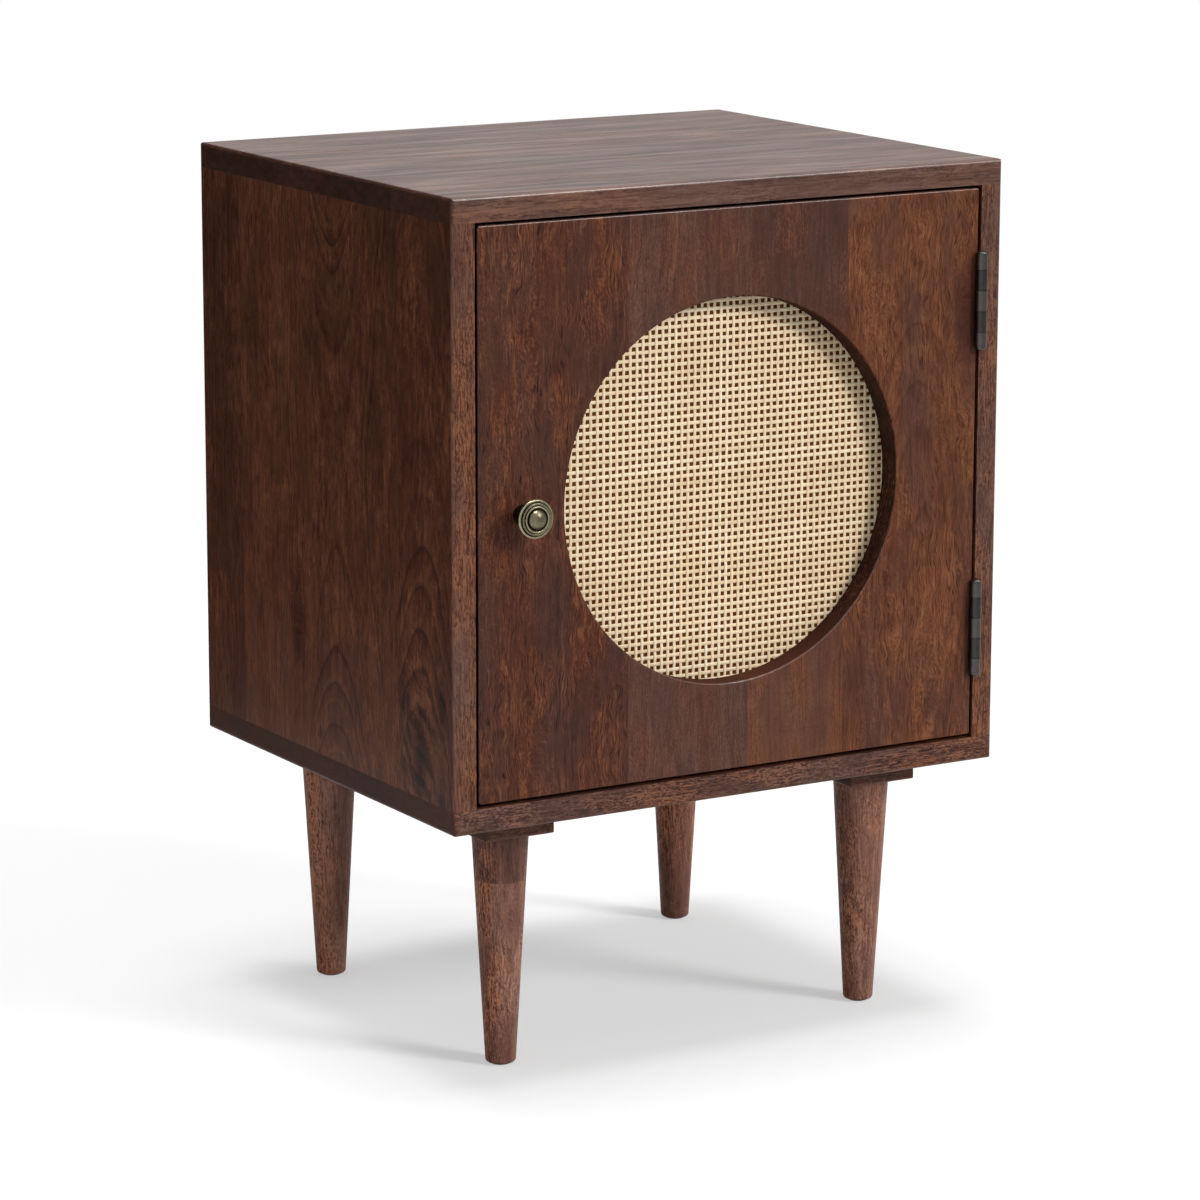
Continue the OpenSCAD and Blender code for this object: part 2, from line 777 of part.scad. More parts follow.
top_board();
bottom_board();
left_side();
right_side();
back_panel();
carcass_dowels();
back_screws();
shelf();
shelf_supports();
door_panel();
cane_panel();
cane_ring();
ring_screws();
knob();
knob_bolt();
strike_plate();
strike_screw();
catch_case();
catch_magnet();
catch_screws();
upper_frame_leaf();
upper_door_leaf();
upper_hinge_pin();
lower_frame_leaf();
lower_door_leaf();
lower_hinge_pin();
frame_leaf_screws();
door_leaf_screws();
front_left_block();
front_right_block();
back_left_block();
back_right_block();
block_screws();
block_inserts();
hanger_bolts();
front_left_leg();
front_right_leg();
back_left_leg();
back_right_leg();
foot_glides();
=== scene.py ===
# %% [markdown]
# # A bedside cupboard in dark stained hardwood, with a woven cane window
#
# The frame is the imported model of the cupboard: every board, leg, hinge and
# screw at its real size, in metres, standing on the floor at z = 0 with the
# door facing -Y. This notebook gives it a camera, a light, and surfaces. It
# moves nothing: a finish is a material on a frame piece, and only the cane,
# which the frame holds as a plain net, is woven again as real strands, with a
# thin sheet behind them.

# %% Load the frame and keep its box
import math
from collections import namedtuple
from types import SimpleNamespace

import bpy
import numpy as np
from mathutils import Matrix, Vector


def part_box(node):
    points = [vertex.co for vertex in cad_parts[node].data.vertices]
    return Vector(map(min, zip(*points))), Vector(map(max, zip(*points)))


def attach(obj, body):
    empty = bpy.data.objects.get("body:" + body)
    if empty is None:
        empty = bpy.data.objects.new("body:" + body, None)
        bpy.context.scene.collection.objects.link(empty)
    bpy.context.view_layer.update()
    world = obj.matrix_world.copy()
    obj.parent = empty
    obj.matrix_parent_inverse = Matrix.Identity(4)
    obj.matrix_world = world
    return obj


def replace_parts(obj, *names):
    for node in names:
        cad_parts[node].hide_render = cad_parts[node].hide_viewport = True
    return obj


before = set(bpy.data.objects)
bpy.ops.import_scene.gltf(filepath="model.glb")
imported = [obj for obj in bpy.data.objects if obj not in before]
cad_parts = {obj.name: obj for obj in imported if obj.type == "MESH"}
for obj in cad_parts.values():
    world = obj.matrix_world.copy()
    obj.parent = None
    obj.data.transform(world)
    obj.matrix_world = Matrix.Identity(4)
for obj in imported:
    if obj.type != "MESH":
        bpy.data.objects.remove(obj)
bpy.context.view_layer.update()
MM = 0.001
TO_MM = 1000

# %% [markdown]
# ## Camera
#
# The photograph was taken from the front left, a little above the top, with a
# long lens: its upright edges stay nearly parallel. Solving the cupboard's
# edges for a camera gives a place, a heading, a dip and a focal length in
# pixels. A Blender camera wants the focal length in millimetres on a 36 mm
# sensor, so the pixels are scaled by sensor width over image width. The
# matrix is built from the three view axes, which leaves no doubt about signs.

# %% Camera at the photograph's place
IMAGE_PX = 1200
FOCAL_PX = 4749.1
EYE = Vector((-1.6791, -2.7893, 0.9812))
HEADING, DIP, ROLL = math.radians(31.0), math.radians(12.07), math.radians(0.12)

camera = bpy.data.objects.new("camera", bpy.data.cameras.new("camera"))
bpy.context.scene.collection.objects.link(camera)
bpy.context.scene.camera = camera
camera.data.sensor_width = 36
camera.data.lens = FOCAL_PX / IMAGE_PX * camera.data.sensor_width
camera.data.clip_start, camera.data.clip_end = 0.1, 100

ahead = Vector((math.sin(HEADING) * math.cos(DIP), math.cos(HEADING) * math.cos(DIP), -math.sin(DIP)))
right = Vector((math.cos(HEADING), -math.sin(HEADING), 0))
up = right.cross(ahead)
turn = Matrix((right, up, -ahead)).transposed().to_4x4()
camera.matrix_world = Matrix.Translation(EYE) @ turn @ Matrix.Rotation(ROLL, 4, "Z")
print("lens", round(camera.data.lens, 1), "mm")

# %% [markdown]
# ## Shader arithmetic
#
# A procedural finish is a sum of many small things, and a node tree hides the
# sum. Here a node's output is wrapped in a small class, so that a finish reads
# as arithmetic: `rings * 0.4 + pores` adds its own Math nodes. Numbers go
# through Math, vectors through Vector Math and colours through Mix, because a
# Math node would turn a colour grey. Every other node comes from `node()`.


# %% Sockets that add and multiply
class Socket:
    """The output of a shader node, with the arithmetic of a Python number."""

    # for each kind of socket, a Mix node's data type and the places of its factor, A, B and result
    MIX = {"VALUE": ("FLOAT", 0, 2, 3, 0), "VECTOR": ("VECTOR", 0, 4, 5, 1), "RGBA": ("RGBA", 0, 6, 7, 2)}

    def __init__(self, tree, out):
        self.tree, self.out = tree, out

    @staticmethod
    def widen(value, size):
        """A plain number as a vector of 3 or a solid colour of 4; anything else as it is."""
        if isinstance(value, Socket) or hasattr(value, "__len__"):
            return value
        return (value,) * 3 + (1,) * (size - 3)

    def node(self, kind, values=None, stops=None, output=0, **settings):
        """A new node in this tree: settings and ramp stops first, then numbers or links."""
        made = self.tree.nodes.new("ShaderNode" + kind)
        for name, value in settings.items():
            setattr(made, name, value)
        if stops:
            ramp = made.color_ramp
            while len(ramp.elements) < len(stops):
                ramp.elements.new(1)
            for element, (place, colour) in zip(ramp.elements, stops):
                element.position = place
                element.color = self.widen(colour, 4)
        for name, value in (values or {}).items():
            if isinstance(value, Socket):
                self.tree.links.new(value.out, made.inputs[name])
            else:
                made.inputs[name].default_value = value
        return Socket(self.tree, made.outputs[output])

    def join(self, operation, other, flipped=False):
        """Math, Vector Math or Mix with one other value, by what the two carry."""
        if isinstance(other, Socket):
            carried = other.out.type
        elif hasattr(other, "__len__"):
            carried = "RGBA" if len(other) == 4 else "VECTOR"
        else:
            carried = "VALUE"
        kinds = (self.out.type, carried)
        first, second = (other, self) if flipped else (self, other)
        if "RGBA" in kinds:
            values = {0: 1.0, 6: self.widen(first, 4), 7: self.widen(second, 4)}
            return self.node("Mix", values, data_type="RGBA", blend_type=operation, output=2)
        if "VECTOR" in kinds:
            values = {0: self.widen(first, 3), 1: self.widen(second, 3)}
            return self.node("VectorMath", values, operation=operation)
        return self.node("Math", {0: first, 1: second}, operation=operation)

    def __add__(self, other):
        return self.join("ADD", other)

    __radd__ = __add__

    def __sub__(self, other):
        return self.join("SUBTRACT", other)

    def __rsub__(self, other):
        return self.join("SUBTRACT", other, flipped=True)

    def __mul__(self, other):
        return self.join("MULTIPLY", other)

    __rmul__ = __mul__

    def __truediv__(self, other):
        return self.join("DIVIDE", other)

    def __rtruediv__(self, other):
        return self.join("DIVIDE", other, flipped=True)

    def __gt__(self, other):
        return self.join("GREATER_THAN", other)

    def math(self, operation, *others):
        """A Math node that Python has no operator for, such as FLOOR or MAXIMUM."""
        return self.node("Math", dict(enumerate((self, *others))), operation=operation)

    def ramp(self, *stops, interpolation="EASE"):
        """This number read off a curve through the stops (place, value or colour)."""
        made = self.node("ValToRGB", {0: self}, stops=stops)
        made.out.node.color_ramp.interpolation = interpolation
        return made

    def rise(self, low, high):
        """0 below low, 1 above high, smooth in between."""
        values = {0: self, 1: low, 2: high, 3: 0.0, 4: 1.0}
        return self.node("MapRange", values, interpolation_type="SMOOTHSTEP")

    def towards(self, other, share):
        """This value or colour, mixed with another by a share from 0 to 1."""
        kind, factor, a, b, result = self.MIX[self.out.type]
        return self.node("Mix", {factor: share, a: self, b: other}, data_type=kind, output=result)

    def split(self):
        """The X, Y and Z of a vector."""
        x = self.node("SeparateXYZ", {0: self})
        return [Socket(self.tree, out) for out in x.out.node.outputs]

    def largest(self):
        """The largest of a vector's three numbers."""
        x, y, z = self.split()
        return x.math("MAXIMUM", y).math("MAXIMUM", z)

    def vector(self, x, y, z):
        """A vector of three numbers, in this socket's tree."""
        return self.node("CombineXYZ", {0: x, 1: y, 2: z})

    def noise(self, detail=2.0, roughness=0.5):
        """Smooth noise from 0 to 1 at this place, one wave per unit."""
        values = {"Vector": self, "Scale": 1.0, "Detail": detail, "Roughness": roughness}
        return self.node("TexNoise", values)

    def chance(self):
        """A random number from 0 to 1 that belongs to this number."""
        return self.node("TexWhiteNoise", {"W": self}, noise_dimensions="1D")


print("socket kinds", list(Socket.MIX))

# %% [markdown]
# A material starts from an object's own coordinates. A frame piece has its
# origin at the frame's origin, so those coordinates are the frame's, and they
# travel with the door when it swings: the grain stays in the wood. They are
# read in millimetres here, which is how a joiner thinks of grain and pores.


# %% Start and end of a material
def begin(name):
    """A new material, and the place on its piece in millimetres."""
    mat = bpy.data.materials.new(name)
    mat.use_nodes = True
    mat.node_tree.nodes.clear()
    coordinates = mat.node_tree.nodes.new("ShaderNodeTexCoord")
    return mat, Socket(mat.node_tree, coordinates.outputs["Object"]) * TO_MM


def end(mat, colour, roughness, height, relief, coat=0.0, **constants):
    """Principled surface: what varies is linked, and what doesn't is set on its own socket."""
    tree = mat.node_tree
    shader = tree.nodes.new("ShaderNodeBsdfPrincipled")
    out = tree.nodes.new("ShaderNodeOutputMaterial")
    tree.links.new(shader.outputs[0], out.inputs["Surface"])
    for name, value in {"Base Color": colour, "Roughness": roughness, "Coat Weight": coat}.items():
        if isinstance(value, Socket):
            tree.links.new(value.out, shader.inputs[name])
        else:
            shader.inputs[name].default_value = value
    for name, value in constants.items():
        shader.inputs[name.replace("_", " ")].default_value = value
    bump = height.node("Bump", {"Height": height, "Strength": 1.0, "Distance": relief * MM})
    tree.links.new(bump.out, shader.inputs["Normal"])
    return mat


def dress(mat, *nodes):
    """Puts a material on every slot of these frame pieces."""
    for node in nodes:
        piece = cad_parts[node]
        if not piece.material_slots:
            piece.data.materials.append(mat)
        for slot in piece.material_slots:
            slot.material = mat
    print(mat.name, "on", len(nodes), "pieces")


# %% [markdown]
# ## Wood
#
# The carcass is glued up from staves: strips of hardwood some 80 to 120 mm
# wide, each from another part of a tree. A flat picture of grain would slide
# off the edges, so the wood is solid here. Each stave has a pith, the centre
# line of its tree, somewhere behind the board and leaning a little. The
# distance from that line, bent by noise, counts the year rings. A broad face
# then shows arches where the pith leans, an edge shows straight lines and an
# end shows arcs, all from the same sum. Fibres, flecks and slow colour drifts
# are noise that is stretched along the grain. Two things bend that sum where
# the photograph shows them: a knot, which pushes the lines aside, and a
# feather, the slanting dark barbs where a branch once left the trunk.

# %% Colours of the stained wood, and what a stave and a board are told
RED_WOOD = [(0.0, (0.014, 0.0042, 0.0026, 1)),
            (0.45, (0.072, 0.0215, 0.0104, 1)),
            (1.0, (0.20, 0.073, 0.031, 1))]
GREY_WOOD = [(0.0, (0.014, 0.0065, 0.0046, 1)),
             (0.45, (0.062, 0.0270, 0.0190, 1)),
             (1.0, (0.15, 0.080, 0.057, 1))]
OLIVE_WOOD = [(0.0, (0.012, 0.0052, 0.0024, 1)),
              (0.45, (0.062, 0.0260, 0.0110, 1)),
              (1.0, (0.16, 0.078, 0.036, 1))]

# edge: where the stave ends across the board, in mm; pith: its place across;
# depth: how far the pith lies behind the face in the middle of the board;
# lean: how fast it gets deeper along the grain; bow: how much deeper it is
# REACH mm from the middle; tone: lighter or darker; warmth: 0 grey-brown to 1
# red-brown; figure: curl of the fibres; pores: many long dark pores or few;
# climb: how much lighter and redder it gets REACH mm further along the grain
Stave = namedtuple("Stave", "edge pith depth lean bow tone warmth figure pores climb", defaults=(0.0,))
REACH = 200

# how strongly a board shows each kind of mark: year rings, long streaks, broad
# patches, fine fibres, speckled grain, dark flecks and curly mottling
Marks = namedtuple("Marks", "rings streaks patches fibres specks flecks mottle")
FIGURED = Marks(0.40, 0.50, 0.50, 0.80, 0.50, 0.30, 0.50)
LIVELY = Marks(0.16, 0.44, 0.56, 0.80, 0.76, 0.40, 0.34)
PLAIN = Marks(0.12, 1.80, 0.34, 0.74, 0.36, 0.09, 0.18)
TURNED = Marks(0.10, 0.75, 0.70, 1.15, 1.50, 0.30, 0.40)


class Board:
    """How a board lies in the frame and what is special about its wood; lengths are in mm."""

    face = 0          # its seen face, on the axis that goes through it
    middle = 0        # the middle of its length, on the axis of its grain
    shift = (0, 0)    # added to the places across and through it
    shade = 1.0       # multiplies its colours
    gloss = 0.42      # roughness of its finish
    specular = 0.16   # how strongly the finish mirrors
    edge_light = 0.0  # how much lighter its long edges are
    end_light = -0.2  # how much lighter its end grain is
    broad = 1.0       # how much longer and wider than usual its streaks are
    rubbed = True     # whether its arrises are rubbed to a shine
    gleam = 0.0       # how much its pale streaks shine
    cool = GREY_WOOD  # the brown that its red-brown is mixed with
    knots = ()        # each knot's place along and across, and its size
    feather = None    # the feather's place along and across, and its size
    hole = None       # a round opening's place along and across, and its radius
    splice = None     # the height above which it is another, darker piece of wood

    def __init__(self, grain, across, staves, marks, seed, **special):
        self.grain, self.across = grain, across
        self.through = ({"X", "Y", "Z"} - {grain, across}).pop()
        self.staves, self.marks, self.seed = staves, marks, seed
        self.__dict__.update(special)


print("a stave has", Stave._fields)

# %% [markdown]
# A point of a board is first told where it lies: along the grain, across the
# staves and how deep. It gets the values of its stave, and noise that is its
# stave's own. Then it is told which way its surface faces, because end grain
# is darker, long edges differ from faces, and an arris is rubbed by hands.


# %% Where a point lies
def pick(where, staves, field):
    """The value that the stave at this place has for one field."""
    values = [getattr(s, field) for s in staves]
    out = values[0]
    for stave, before, after in zip(staves, values, values[1:]):
        out = (where > stave.edge) * (after - before) + out
    return out


def locate(place, board):
    """A point's place along, across and into its board, and what its stave has there."""
    axes = dict(zip("XYZ", place.split()))
    at = SimpleNamespace()
    at.along = axes[board.grain] - board.middle
    at.across = axes[board.across] + board.shift[0]
    at.deep = (axes[board.through] + board.shift[1] - board.face).math("ABSOLUTE")
    for field in Stave._fields[1:]:
        setattr(at, field, pick(at.across, board.staves, field))
    at.climbed = at.along * at.climb / REACH
    # own sets the noise of a stave, or of a spliced piece, apart from its neighbours'
    at.own = at.pith * 0.37 + board.seed
    if board.splice:
        at.own = (at.along > board.splice) * 17.3 + at.own
    # a knot pushes the lines aside, and they close again above and below it
    at.knotty = 0
    for along, across, size in board.knots:
        above, beside = at.along - along, at.across - across
        near = size * size / (beside * beside + above * above / 9 + size * size)
        at.across = at.across - beside * near
        at.knotty = at.knotty + near.rise(0.25, 0.90)
    return at


def look_at_surface(at, place, board):
    """Whether a point lies on end grain, a long edge, a rubbed arris or the wall of a hole."""
    normal = place.node("TexCoord", output="Normal")
    facing = dict(zip("XYZ", normal.split()))
    at.outward = facing[board.through]
    at.ends = facing[board.grain] * facing[board.grain]
    at.edge = facing[board.across] * facing[board.across]
    rounded = 1 - normal.node("VectorMath", {0: normal}, operation="ABSOLUTE").largest()
    at.worn = rounded.rise(0.01, 0.12) * at.outward.math("ABSOLUTE").rise(0.1, 0.3)
    # the arrises that face up or to the front have the most polish
    at.polish = at.worn * facing["Z"].rise(-0.25, 0.35) * (1 - facing["Y"].rise(0.1, 0.5) * 0.8)
    at.wall = 0
    if board.hole:
        along, across, radius = board.hole
        above, beside = at.along - along, at.across - across
        away = (above * above + beside * beside).math("SQRT")
        at.wall = (1 - away.rise(radius, radius + 1)) * (1 - at.outward * at.outward)


print("a point is told its stave's", Stave._fields[1:])

# %% [markdown]
# The marks are all noise, and differ in how far it is drawn out: a fibre is
# 22 mm long and 1 mm wide, a streak 75 by 4.5 mm, a drift of colour 62 by
# 30 mm. Lines across the board wander a little, and curl where the stave is
# figured. Year rings come from the distance to the pith: pale early wood that
# fades into dark late wood, with a strength that each year draws by chance.

# %% Marks in the wood
RING = 2.5


def grainy(at, length, width, line, own_on=2, detail=2.0, roughness=0.5):
    """Noise drawn out along the grain, so many mm long and wide; the stave's own number shifts it."""
    spot = [at.along / length, line / width, at.deep / width]
    spot[own_on] = spot[own_on] + at.own
    return at.along.vector(*spot).noise(detail, roughness)


def year_rings(at):
    """How dark the late wood and how pale the early wood of a point's year is."""
    # the distance to the pith, which wanders within 24 mm across and 1.6 mm in depth
    drift = grainy(at, 130, 55, at.across, own_on=0, detail=1.5)
    sway = grainy(at, 80, 36, at.across, own_on=1)
    side = at.across - at.pith + (drift - 0.5) * 24
    bowed = at.along * at.along * at.bow / REACH ** 2
    back = at.deep + at.depth + at.along * at.lean + bowed + (sway - 0.5) * 1.6
    radius = (side * side + back * back).math("SQRT")
    # its year: rings lie closer and wider in turn
    bands = at.along.vector(radius / 11, at.along / 400, at.own).noise(1.0)
    count = radius / RING + bands * 2.4
    year = count.math("FLOOR")
    age = count - year
    strength = (year + at.own).chance().rise(0.2, 1.0)
    late = age.ramp((0.0, 0.0), (0.50, 0.02), (0.78, 0.30), (0.92, 1.0), (1.0, 0.0))
    pale = age.ramp((0.0, 0.0), (0.10, 1.0), (0.40, 0.0))
    return late * (strength * 0.85 + 0.15), pale * strength


def read_marks(at, board, late):
    """Streaks, fibres, flecks, specks, patches, mottling and flashes at a point."""
    # lines wander within 11 mm across the board, and curl within 8 mm where the stave is figured
    at.wavy = at.across + (grainy(at, 52, 21, at.across, detail=1.0) - 0.5) * 11
    at.ripple = grainy(at, 15, 8, at.across, detail=1.0)
    at.curled = at.wavy + (at.ripple - 0.5) * 8 * at.figure

    length, width = 75 * board.broad, 4.5 * board.broad
    streaky = (at.along / length, at.wavy / width + at.own, at.deep / 4.5 + late * 0.2)
    at.streaks = at.along.vector(*streaky).noise(3.0, 0.6)
    at.fibres = grainy(at, 22, 1.1, at.curled, own_on=1, roughness=0.6)

    # flecks are the long dark pores of some zones, and specks the short grain of the others
    zone = grainy(at, 85, 17, at.wavy) + at.pores
    at.flecks = grainy(at, 10, 0.7, at.curled, detail=1.0).rise(0.54, 0.70) * zone.rise(0.38, 0.60)
    specked = (at.along / 2.3 + at.curled / 3, at.curled / 1.15, at.deep / 1.15 + at.own)
    at.specks = (at.along.vector(*specked).noise(1.0) - 0.5) * (1 - zone.rise(0.34, 0.62) * 0.7)

    at.patches = grainy(at, 62, 30, at.across)
    at.lively = at.patches.rise(0.36, 0.60)
    at.mottle = grainy(at, 11, 4.5, at.curled, roughness=0.6)
    bright = (at.mottle + at.fibres * 0.35 - 0.68).math("MAXIMUM", 0.0)
    at.flash = bright * at.patches.rise(0.40, 0.64) * at.figure


print("year rings are", RING, "mm wide")

# %% [markdown]
# All marks add up to one number, from the darkest stain at 0 to the palest at
# 1. A ramp turns it into a red-brown and another into a grey-brown, and the
# stave's warmth, with a slow mood of its own, chooses between the two.


# %% Lightness and colour
MIDDLE_TONE = 0.47


def feathered(at, light, feather):
    """Slanting dark barbs on a paler ground, which end at the feather's size."""
    along, across, size = feather
    above, beside = at.along - along, at.across - across
    far = (above * above / 4 + beside * beside).math("SQRT") / size
    slant, barb = at.along + at.wavy * 0.7, at.wavy - at.along * 0.7
    barbs = at.along.vector(slant / 30, (barb + (at.ripple - 0.5) * 10) / 8, at.own).noise(2.0, 0.6)
    return light + (0.08 - barbs.rise(0.48, 0.58) * 0.34) * (1 - far.rise(0.45, 1.0))


def lightness(at, board, late, pale):
    """The sum of all marks at a point."""
    marks = board.marks
    fine = (at.fibres - 0.5) * marks.fibres + at.specks * marks.specks - at.flecks * marks.flecks
    drawn = (fine * (at.edge * 1.4 + 1) * (at.lively * 0.7 + 0.5) + (at.streaks - 0.5) * marks.streaks
             + (at.patches - 0.5) * marks.patches + (at.mottle - 0.5) * marks.mottle)
    drawn = drawn * (1 - at.ends * 0.55)
    broken = at.fibres.rise(0.30, 0.62) * 0.7 + 0.3
    light = (MIDDLE_TONE + at.tone + at.climbed * 0.4 + drawn * (at.figure * 0.75 + 0.3) + at.flash * 0.5
             - late * broken * marks.rings + pale * marks.rings * 0.35)
    if board.knots:
        light = light - at.knotty * (at.fibres * 0.2 + 0.16)
    if board.feather:
        light = feathered(at, light, board.feather)
    light = light + at.ends * board.end_light + at.edge * board.edge_light + at.worn * 0.10
    if board.splice:
        light = light + (at.along > board.splice) * -0.22
    if board.hole:
        # painted shade on the window's wall, inside the recess
        light = light - at.wall * 0.05
    return light


def stained(light, colours):
    """A lightness as a colour of one stain."""
    return light.ramp(*colours, interpolation="LINEAR")


def tint(at, board, light):
    """The stain's colour: red-brown, or the board's cooler brown where the share says so."""
    mood = grainy(at, 105, 26, at.across, own_on=1)
    red = stained(light, RED_WOOD)
    cool = stained(light, board.cool)
    if board.cool is not GREY_WOOD:
        # such a board is grey-brown on its edges; near its foot it is painted lighter and greyer, as
        # light bounced up from the floor
        floor_bounce = 1 - at.along.rise(-150, 30)
        cool = cool.towards(stained(light + floor_bounce * 0.04, GREY_WOOD), at.edge.math("MAXIMUM", floor_bounce))
    edge_share = 0.5 if board.edge_light > 0 else -0.5
    share = (1 - at.warmth - at.climbed + (mood - 0.5) * 1.7 - (at.lively - 0.5) * 0.45 * at.figure
             - at.flash * 2.0 + at.edge * edge_share)
    colour = red.towards(cool, share.math("MAXIMUM", 0.0).math("MINIMUM", 1.0)) * board.shade
    if board.hole:
        colour = colour.towards(red, at.wall * 0.8)
    return colour


def wood(name, board):
    """The material of solid wood for one board."""
    mat, place = begin(name)
    at = locate(place, board)
    look_at_surface(at, place, board)
    late, pale = year_rings(at)
    read_marks(at, board, late)
    light = lightness(at, board, late, pale)
    rough = board.gloss + (at.fibres - 0.5) * 0.16 + at.flecks * 0.15 + at.ends * 0.12 + at.wall * 0.5
    height = (at.fibres - 0.5) * 0.35 - at.flecks
    coat = at.polish if board.rubbed else 0.0
    if board.gleam:
        coat = coat + at.streaks.rise(0.40, 0.66) * at.outward.math("ABSOLUTE") * board.gleam
    return end(mat, tint(at, board, light), rough, height, relief=0.08, coat=coat,
               Coat_Roughness=0.22, Specular_IOR_Level=board.specular)


print("middle tone", MIDDLE_TONE)

# %% [markdown]
# The staves below are the ones that show in the photograph. The left side has
# an arch that points up near its front edge and one that points down behind
# it, then two straight-grained strips. The door's four staves turn from brown
# through a greyer one and a plum one to a lively orange-red one at the hinges.

# %% Staves of every board
LAST = 400  # the last stave's edge, past any board's

# climb below zero paints the left side lighter and redder towards its foot: painted light bounced up from
# the floor
LEFT_STAVES = [
    Stave(-94, -124, 115, 0.085, 2, 0.03, 1.05, 0.9, -0.06, -0.10),
    Stave(27, -6, 112, 0.012, -18, 0.06, 0.86, 0.8, -0.08, -0.15),
    Stave(132, 330, 60, 0.020, 0, 0.10, 0.92, 0.7, -0.02, -0.14),
    Stave(LAST, 300, 60, 0.050, 0, -0.01, 0.80, 0.7, 0.00, -0.12),
]
RIGHT_STAVES = [
    Stave(-96, -250, 60, 0.050, 0, 0.00, 0.75, 0.8, -0.04),
    Stave(8, 250, 60, -0.030, 0, 0.04, 0.90, 0.7, -0.04),
    Stave(104, 58, 105, 0.080, 3, -0.02, 0.76, 0.8, -0.06),
    Stave(LAST, 290, 70, -0.080, 0, 0.03, 0.90, 0.7, -0.02),
]
TOP_STAVES = [
    Stave(-88, -170, 35, 0.02, 0, -0.02, 0.42, 0.5, -0.10),
    Stave(10, -36, 60, 0.06, 5, -0.08, 0.40, 0.4, -0.12),
    Stave(101, 60, 80, -0.05, 0, -0.03, 0.50, 0.5, -0.12),
    Stave(LAST, 170, 30, 0.04, 0, -0.06, 0.35, 0.4, -0.12),
]
BOTTOM_STAVES = [
    Stave(-74, -190, 22, 0.05, 0, 0.05, 0.60, 0.9, -0.04),
    Stave(30, -16, 80, -0.06, 2, 0.00, 0.65, 0.6, -0.06),
    Stave(LAST, 140, 60, 0.05, 0, 0.02, 0.70, 0.6, -0.04),
]
DOOR_STAVES = [
    Stave(-82, -250, 30, 0.03, 0, -0.03, 0.60, 1.0, 0.00, 0.08),
    Stave(12.5, -36, 60, 0.02, 0, 0.06, 0.10, 0.45, -0.20),
    Stave(89, 170, 90, 0.04, 0, 0.06, 0.46, 0.40, -0.12, -0.26),
    Stave(LAST, 150, 90, 0.05, 14, 0.12, 0.88, 0.9, 0.03, 0.07),
]
SHELF_STAVES = [
    Stave(-60, -90, 80, 0.05, 0, 0.02, 0.60, 0.7, -0.06),
    Stave(45, 260, 60, -0.06, 0, -0.04, 0.50, 0.6, -0.08),
    Stave(LAST, 120, 90, 0.07, 0, 0.03, 0.70, 0.6, -0.04),
]
# a veneered sheet shows the same arch three times, because its leaves are cut one after the other
LEAF = 132
SHEET = [Stave(edge, edge - 62, 70, 0.10, 0, 0.05, 0.90, 0.6, -0.06)
         for edge in (-LEAF / 2, LEAF / 2, 1.5 * LEAF)]
print("staves in the door", len(DOOR_STAVES))

# %% [markdown]
# Every board takes its place from its frame piece: the middle of its length,
# and the face that is seen, from which the depth of its pith is measured. The
# window's wall is cut across the fibres, where the stain soaks in and reddens.
# It is also painted darker, as are the door's side edges in the gap: painted
# shade in the recess. The ring and the sheet behind the cane are measured from
# the cane's plane.

# %% Boards
WINDOW_R = 131  # mm
low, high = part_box("cane_panel")
cane_mid = (low + high) / 2
cane_plane = round(cane_mid.y * TO_MM)


def panel(name, piece, seen, grain, across, staves, marks, seed, **special):
    """Dresses a board in its own wood; its low or its high side is the one that is seen."""
    low, high = (dict(zip("XYZ", corner * TO_MM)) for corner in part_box(piece))
    board = Board(grain, across, staves, marks, seed, **special)
    board.middle = round((low[grain] + high[grain]) / 2)
    board.face = round({"low": low, "high": high}[seen][board.through])
    dress(wood(name, board), piece)
    return board.middle


panel("top_wood", "top_board", "high", "X", "Y", TOP_STAVES, PLAIN, seed=3.1,
      edge_light=0.20, specular=0.2, broad=1.9, gleam=0.15)
panel("bottom_wood", "bottom_board", "low", "X", "Y", BOTTOM_STAVES, LIVELY, seed=8.4, edge_light=0.06)
panel("left_wood", "left_side", "low", "Z", "Y", LEFT_STAVES, FIGURED, seed=5.7,
      edge_light=0.17, cool=OLIVE_WOOD, feather=(-158, -122, 38),
      knots=[(-106, 48, 12), (-168, -122, 9), (-128, -150, 6), (-190, -150, 5)])
mid_height = panel("right_wood", "right_side", "high", "Z", "Y", RIGHT_STAVES, FIGURED, seed=12.9,
                   edge_light=0.17, cool=OLIVE_WOOD)
# edge_light below zero paints shade on the door's side edges, down in the gap, and on the sides of the
# window's wall
panel("door_wood", "door_panel", "low", "Z", "X", DOOR_STAVES, LIVELY, seed=21.3,
      edge_light=-0.50, end_light=-0.12, specular=0.107, knots=[(110, 188, 11)],
      hole=(cane_mid.z * TO_MM - mid_height, cane_mid.x * TO_MM, WINDOW_R + 0.5))
panel("shelf_wood", "shelf", "high", "X", "Y", SHELF_STAVES, FIGURED, seed=31.7)
panel("back_wood", "back_panel", "high", "Z", "X", SHEET, FIGURED, seed=40.2,
      gloss=0.55, shade=1.8, rubbed=False)
ring = Board("Z", "X", SHEET, PLAIN, seed=25.0, face=cane_plane, middle=mid_height)
dress(wood("ring_wood", ring), "cane_ring")

# %% [markdown]
# The legs are turned from lighter, pinker blanks with a coarse speckled grain.
# Each one is wood of its own, so every leg gets its own tree: the same recipe
# with the pith on another side of the leg, some 100 mm from its axis. The
# front left leg is spliced: its top 33 mm are another, darker piece.

# %% Legs and blocks
PITH_AWAY = 100
SPLICE = 33
